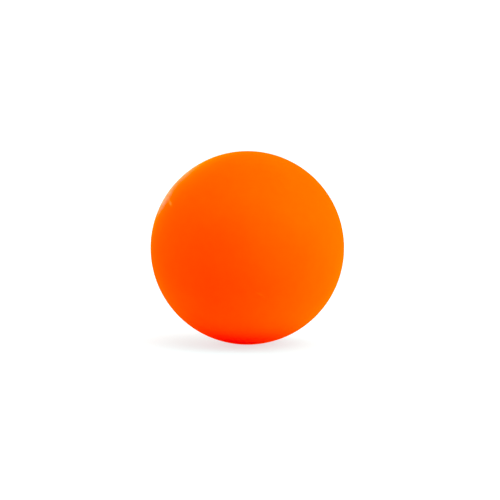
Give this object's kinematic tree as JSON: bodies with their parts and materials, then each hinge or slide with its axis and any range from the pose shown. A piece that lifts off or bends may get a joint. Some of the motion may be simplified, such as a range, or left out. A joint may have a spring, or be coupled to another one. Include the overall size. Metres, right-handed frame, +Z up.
{
  "type": "golf ball",
  "caption": "Smooth, dimple-free golf ball: rubber core in keyed cups, ionomer mantle and urethane cover half-shells, under a matte fluorescent orange lacquer.",
  "frame": {"origin": "the ball's centre", "axes": "+Z up, along the pole of the cover's moulding axis; the cover's parting plane is XY, the mantle's is XZ and the outer core's is YZ"},
  "size_m": [0.0426, 0.0426, 0.0426],
  "materials": {
    "soft_core_rubber": "matte",
    "firm_core_rubber": "matte",
    "ionomer": "satin",
    "urethane": "satin",
    "white_primer": "matte",
    "orange_lacquer": "matte"
  },
  "bodies": {
    "root": {"inner_core": "soft_core_rubber", "outer_core_left": "firm_core_rubber", "outer_core_right": "firm_core_rubber", "mantle_front": "ionomer", "mantle_back": "ionomer", "cover_lower": "urethane", "cover_upper": "urethane", "primer_coat": "white_primer", "lacquer_coat": "orange_lacquer"}
  },
  "joints": []
}
